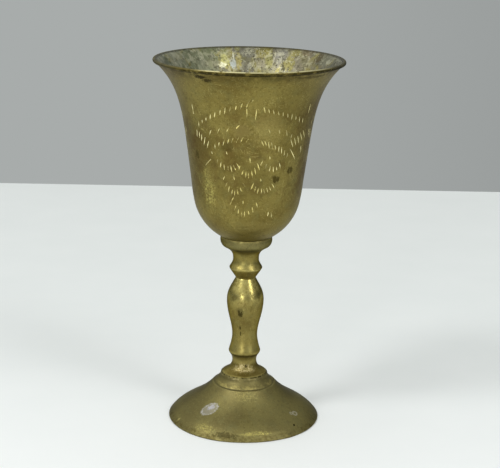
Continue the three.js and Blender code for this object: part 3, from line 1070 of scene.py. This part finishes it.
def make_bowl():
    points, closed = section_of("cup_bowl")
    lip = points[:, 1].max() - LIP_HEIGHT
    outline = refined(points, closed, lambda height: (0.22 if height > lip else 1.1) * MM)
    piece = revolve("bowl", outline, closed, 360)
    cutters = engraving_cutters(outline)
    for material in (bowl_brass(outline), cut_brass()):
        piece.data.materials.append(material)
        cutters.data.materials.append(material)
    cutters.data.polygons.foreach_set("material_index", [CUT_SLOT] * len(cutters.data.polygons))
    boolean(piece, cutters, "DIFFERENCE")
    push_out(piece, bowl_wobble)
    top = np.argmax(outline[:, 1])
    store_section(piece, outline, closed, np.arange(len(outline)) > top + 1)
    smooth(piece, cut_slot=CUT_SLOT)
    settle(piece, "cup_bowl", "vessel", "aged_brass")


# Where the collar's top edge starts, and how far it is turned up.
COLLAR_EDGE = 84.6 * MM
COLLAR_EDGE_HEIGHT = 0.6 * MM
COLLAR_LIFT = 0.28 * MM


def close_collar(piece):
    """The collar's top edge is turned up against the bowl that sits in it."""
    co = coordinates(piece)
    co[:, 2] += COLLAR_LIFT * np.clip((co[:, 2] - COLLAR_EDGE) / COLLAR_EDGE_HEIGHT, 0, 1)
    set_coordinates(piece, co)


# The knock's middle and half width are in degrees.
KNOCK_AZIMUTH = 10
KNOCK_REACH = 26
KNOCK_DEPTH = 0.4 * MM
CREASE_TOP = 3.0 * MM
CREASE_HEIGHT = 0.7 * MM
SKIRT_RADIUS = 20 * MM


def knock(x, y, z):
    """A knock has pushed the foot's edge in below a short crease at the front."""
    if math.hypot(x, y) < SKIRT_RADIUS:
        return 0.0
    azimuth = math.degrees(math.atan2(x, -y))
    along = max(0.0, 1 - ((azimuth - KNOCK_AZIMUTH) / KNOCK_REACH) ** 2)
    down = min(1.0, max(0.0, (CREASE_TOP - z) / CREASE_HEIGHT))
    return -KNOCK_DEPTH * math.sqrt(along) * down * down * (3 - 2 * down)


def underneath(outline):
    """Whether each point of the foot's outline is on its hollow side."""
    ahead = np.roll(outline, -1, axis=0) - np.roll(outline, 1, axis=0)
    return (ahead[:, 1] - ahead[:, 0]) < 0


def foot_step(height):
    return (0.3 if height < 4 * MM else 0.6) * MM


def make_stem_and_foot():
    dark = ("vessel", "dark_brass")
    aged = ("vessel", "aged_brass")
    knop = partial(stem_brass, "knop_brass")
    make_turned("knop", "upper_knop", *dark, knop, 160, even_step(0.4), shape=close_collar)
    make_turned("boss", "bowl_boss", *dark, boss_brass, 96, even_step(0.8))
    baluster = partial(stem_brass, "stem_brass", marks=BALUSTER_MARKS)
    make_turned("baluster", "baluster_stem", *aged, baluster, 160, even_step(0.4))
    make_turned("socket", "foot_socket", *dark, socket_brass, 160, even_step(0.4))
    dented = partial(push_out, push_at=knock)
    make_turned("foot", "domed_foot", *aged, foot_brass, 320, foot_step, underneath, dented)


THREAD_PITCH = 0.8 * MM
THREAD_DEPTH = 0.42 * MM
THREAD_LENGTH = 10.5 * MM
# How steeply the groove's sides fall: whole depths for each pitch.
THREAD_STEEPNESS = 2.6
ROWS_PER_PITCH = 8
ROD_SEGMENTS = 48
ROD_CHAMFER = 0.3 * MM
# The rod's lower tip, as a share of its radius.
ROD_TIP = 0.55


def thread_radius(outer, bottom, z, around):
    """The rod's radius at a height and a share of a turn: a groove that runs out at its top."""
    phase = (z / THREAD_PITCH - around) % 1
    run_out = min(1.0, max(0.0, (bottom + THREAD_LENGTH - z) / THREAD_PITCH))
    groove = max(0.0, 1 - abs(phase - 0.5) * THREAD_STEEPNESS) * run_out
    lead_in = max(0.0, 1 - (z - bottom) / THREAD_PITCH)
    return outer - max(groove, lead_in) * THREAD_DEPTH


def tube_faces(rows, count):
    """Faces between rows of count vertices each, and over the two ends."""
    faces = []
    for row in range(rows - 1):
        for k in range(count):
            a, b = row * count + k, row * count + (k + 1) % count
            faces.append((a, b, b + count, a + count))
    last = (rows - 1) * count
    faces.append(tuple(reversed(range(count))))
    faces.append(tuple(last + k for k in range(count)))
    return faces


def make_rod(material):
    """The tie rod, with a real thread on its lower end."""
    low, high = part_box("tie_rod")
    radius = (high[0] - low[0]) / 2
    top_of_thread = low[2] + THREAD_LENGTH
    heights = list(np.arange(low[2] + ROD_CHAMFER, top_of_thread, THREAD_PITCH / ROWS_PER_PITCH))
    heights += [top_of_thread + 0.1 * MM, high[2] - ROD_CHAMFER]
    turns = [k / ROD_SEGMENTS for k in range(ROD_SEGMENTS)]
    rows = [(low[2], [ROD_TIP * radius] * ROD_SEGMENTS)]
    rows += [(z, [thread_radius(radius, low[2], z, turn) for turn in turns]) for z in heights]
    rows.append((high[2], [radius - ROD_CHAMFER] * ROD_SEGMENTS))
    vertices = []
    for z, radii in rows:
        vertices.extend(polar(r, 2 * math.pi * turn, z) for r, turn in zip(radii, turns))
    piece = new_object("rod", vertices, tube_faces(len(rows), ROD_SEGMENTS))
    smooth(piece)
    settle(piece, "tie_rod", "vessel", "zinc_steel", material)


# The radius of the holes in the nut and the spring washer.
BORE = 2.65 * MM
SPRING_EASE = 0.2 * MM
SPRING_STEPS = 96
SPRING_GAP = math.radians(4)
# How far the split's ends lean sideways for each step up.
SPRING_SLANT = 0.8


def make_spring_washer(material):
    """A split ring with rounded edges and slanted ends."""
    low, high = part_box("spring_washer")
    outer, bottom, top, ease = high[0], low[2], high[2], SPRING_EASE
    section = [
        (BORE, bottom + ease), (BORE, top - ease), (BORE + ease, top), (outer - ease, top),
        (outer, top - ease), (outer, bottom + ease), (outer - ease, bottom), (BORE + ease, bottom),
    ]
    middle = (bottom + top) / 2
    vertices = []
    for k in range(SPRING_STEPS + 1):
        for radius, z in section:
            slant = (z - middle) / outer * SPRING_SLANT
            angle = SPRING_GAP + (2 * math.pi - 2 * SPRING_GAP) * k / SPRING_STEPS + slant
            vertices.append(polar(radius, angle, z))
    piece = new_object("split_washer", vertices, tube_faces(SPRING_STEPS + 1, len(section)))
    smooth(piece)
    settle(piece, "spring_washer", "washers", "zinc_steel", material)


NUT_CHAMFER = 0.35 * MM


def make_nut(material):
    """A hexagon nut with chamfered corners and a countersunk bore."""
    low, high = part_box("hex_nut")
    bottom, top = low[2], high[2]
    corner = max(high[0], high[1])
    flat = corner * math.cos(math.pi / 6)
    first = 0.0 if high[0] > high[1] else math.pi / 6
    sunk, face, reach = BORE + NUT_CHAMFER, flat * 0.97, corner * 1.05
    fall = NUT_CHAMFER + 0.2 * MM
    outline = np.array([
        (BORE, bottom + NUT_CHAMFER), (sunk, bottom), (face, bottom), (reach, bottom + fall),
        (reach, top - fall), (face, top), (sunk, top), (BORE, top - NUT_CHAMFER),
    ])
    piece = revolve("nut", outline, True, 96)
    angles = [first + k * math.pi / 3 for k in range(6)]
    ends = (bottom - 1 * MM, top + 1 * MM)
    vertices = [polar(corner, angle, z) for z in ends for angle in angles]
    boolean(piece, new_object("prism", vertices, tube_faces(2, 6)), "INTERSECT")
    smooth(piece, math.radians(20))
    settle(piece, "hex_nut", "nut", "zinc_steel", material)


# ---- camera, light and floor

CAMERA_PLACE = Vector((1.6, -600.8, 247.6)) * MM
CAMERA_LOOK_DOWN = math.radians(15.03)
CAMERA_ROLL = math.radians(1.04)
CAMERA_LENS = 100
CAMERA_SENSOR = 36
VESSEL_MIDDLE = Vector((0, 0, 0.08))
# Lights: name, direction from the vessel's middle, distance, size and power in watts.
LIGHTS = (
    ("lamp_left", (-0.55, -0.36, 0.77), 1.3, (0.24, 0.34), 4.4),
    ("lamp_right", (0.56, -0.5, 0.66), 1.3, (0.34, 0.9), 4.0),
    ("window_left", (-0.34, -0.93, 0.16), 1.4, (0.2, 0.4), 2.6),
    ("window_right", (0.69, -0.72, 0.1), 1.4, (0.16, 0.3), 1.0),
)
WALL = shade(165, 169, 168)
WALL_BAND = shade(118, 120, 120)
CEILING = shade(232, 235, 233)
BOARD_HALF = 0.462
BOARD_THICKNESS = 0.02


def add_camera():
    """A long lens, a little above the rim, looking down at the vessel."""
    data = bpy.data.cameras.new("camera")
    data.sensor_width = CAMERA_SENSOR
    data.lens = CAMERA_LENS
    camera = add_object("camera", data)
    tilt = Matrix.Rotation(math.pi / 2 - CAMERA_LOOK_DOWN, 4, "X")
    roll = Matrix.Rotation(CAMERA_ROLL, 4, "Z")
    camera.matrix_world = Matrix.Translation(CAMERA_PLACE) @ tilt @ roll
    bpy.context.scene.camera = camera


def add_light(name, direction, distance, size, power):
    """A soft area light that faces the vessel's middle."""
    data = bpy.data.lights.new(name, "AREA")
    data.shape = "RECTANGLE"
    data.size, data.size_y = size
    data.energy = power
    light = add_object(name, data)
    towards = Vector(direction).normalized()
    light.location = VESSEL_MIDDLE + towards * distance
    light.rotation_euler = towards.to_track_quat("Z", "Y").to_euler()


def add_world():
    """A grey room with a darker band above eye level and a pale ceiling, brighter at the left."""
    world = bpy.data.worlds.new("room")
    world.use_nodes = True
    n = Nodes(world.node_tree)
    x, _, z = n.node("SeparateXYZ", {0: n.node("TexCoord").outputs["Generated"]}).outputs
    up = n.node("MapRange", {"Value": z, "From Min": -1.0})
    tones = n.node("ValToRGB", {0: up.outputs[0]})
    stops = tones.color_ramp.elements
    stops[0].position, stops[0].color = 0.0, WALL
    stops[1].position, stops[1].color = 1.0, CEILING
    for position, tone in ((0.49, WALL), (0.52, WALL_BAND), (0.58, WALL_BAND), (0.66, CEILING)):
        stops.new(position).color = tone
    aside = n.math("ABSOLUTE", n.math("ADD", x, 0.42))
    limits = {"From Min": 0.35, "From Max": 1.1, "To Min": 1.02, "To Max": 0.52}
    strength = n.node("MapRange", {"Value": aside, **limits})
    background = n.tree.nodes["Background"].inputs
    n.tree.links.new(tones.outputs[0], background["Color"])
    n.tree.links.new(strength.outputs[0], background["Strength"])
    bpy.context.scene.world = world


def add_floor():
    corners = [(x * BOARD_HALF, y * BOARD_HALF) for x, y in ((-1, -1), (1, -1), (1, 1), (-1, 1))]
    vertices = [(x, y, z) for z in (-BOARD_THICKNESS, 0.0) for x, y in corners]
    floor = new_object("floor", vertices, tube_faces(2, 4))
    s = Shader("pale_board")
    # Painted light: the board is lighter towards the front and darker towards the back, as the light
    # falls off.
    painted_falloff = s.ramp(s.axes()["Y"], -330, 230)
    near = s.mix(s.noise(40, 4), shade(252, 253, 253), shade(247, 249, 249))
    far = s.mix(s.noise(40, 4), shade(232, 235, 234), shade(226, 230, 229))
    floor.data.materials.append(s.finish(s.mix(painted_falloff, near, far), 0.8, s.noise(1.5, 3), 0.0, 0.02))


# ---- build

bpy.context.scene.view_settings.view_transform = "Standard"
add_camera()
add_world()
add_floor()
for light in LIGHTS:
    add_light(*light)

make_bowl()
make_stem_and_foot()
steel = zinc_steel()
make_rod(steel)
flat_washer = ("flat_washer", "foot_washer", "washers", "zinc_steel")
make_turned(*flat_washer, lambda outline: steel, 128, even_step(0.4))
make_spring_washer(steel)
make_nut(steel)
